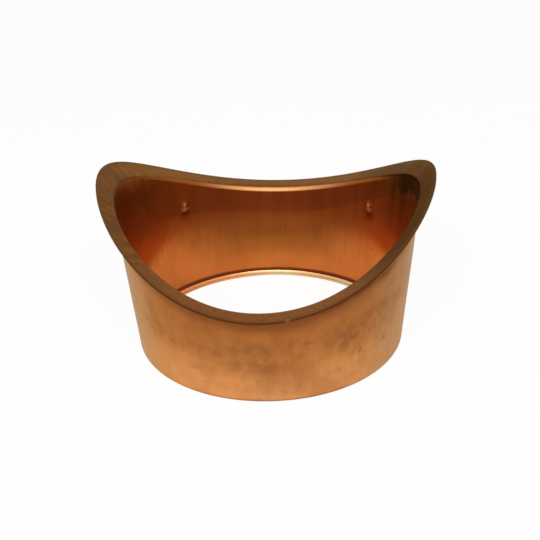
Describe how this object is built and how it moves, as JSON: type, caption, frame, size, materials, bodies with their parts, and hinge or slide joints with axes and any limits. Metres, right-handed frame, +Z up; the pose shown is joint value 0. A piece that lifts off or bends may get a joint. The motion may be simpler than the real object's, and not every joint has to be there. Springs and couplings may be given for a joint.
{
  "type": "gutter outlet",
  "caption": "Drop outlet for a half-round gutter: a tapered round tube with a curved flange that lies in the trough, and a turned-in foot.",
  "frame": {"origin": "on the tube's axis, in the plane of the turned-in foot on which the outlet stands", "axes": "+Z up the tube to the flange, Y along the gutter, X across it towards the flange's two raised horns, with the two pips in the +Y side of the wall"},
  "size_m": [0.1154, 0.1154, 0.063],
  "materials": {
    "copper": "bare copper sheet with a light brown tarnish, brushed on the flange"
  },
  "bodies": {
    "root": {"gutter_outlet": "copper"}
  },
  "joints": []
}
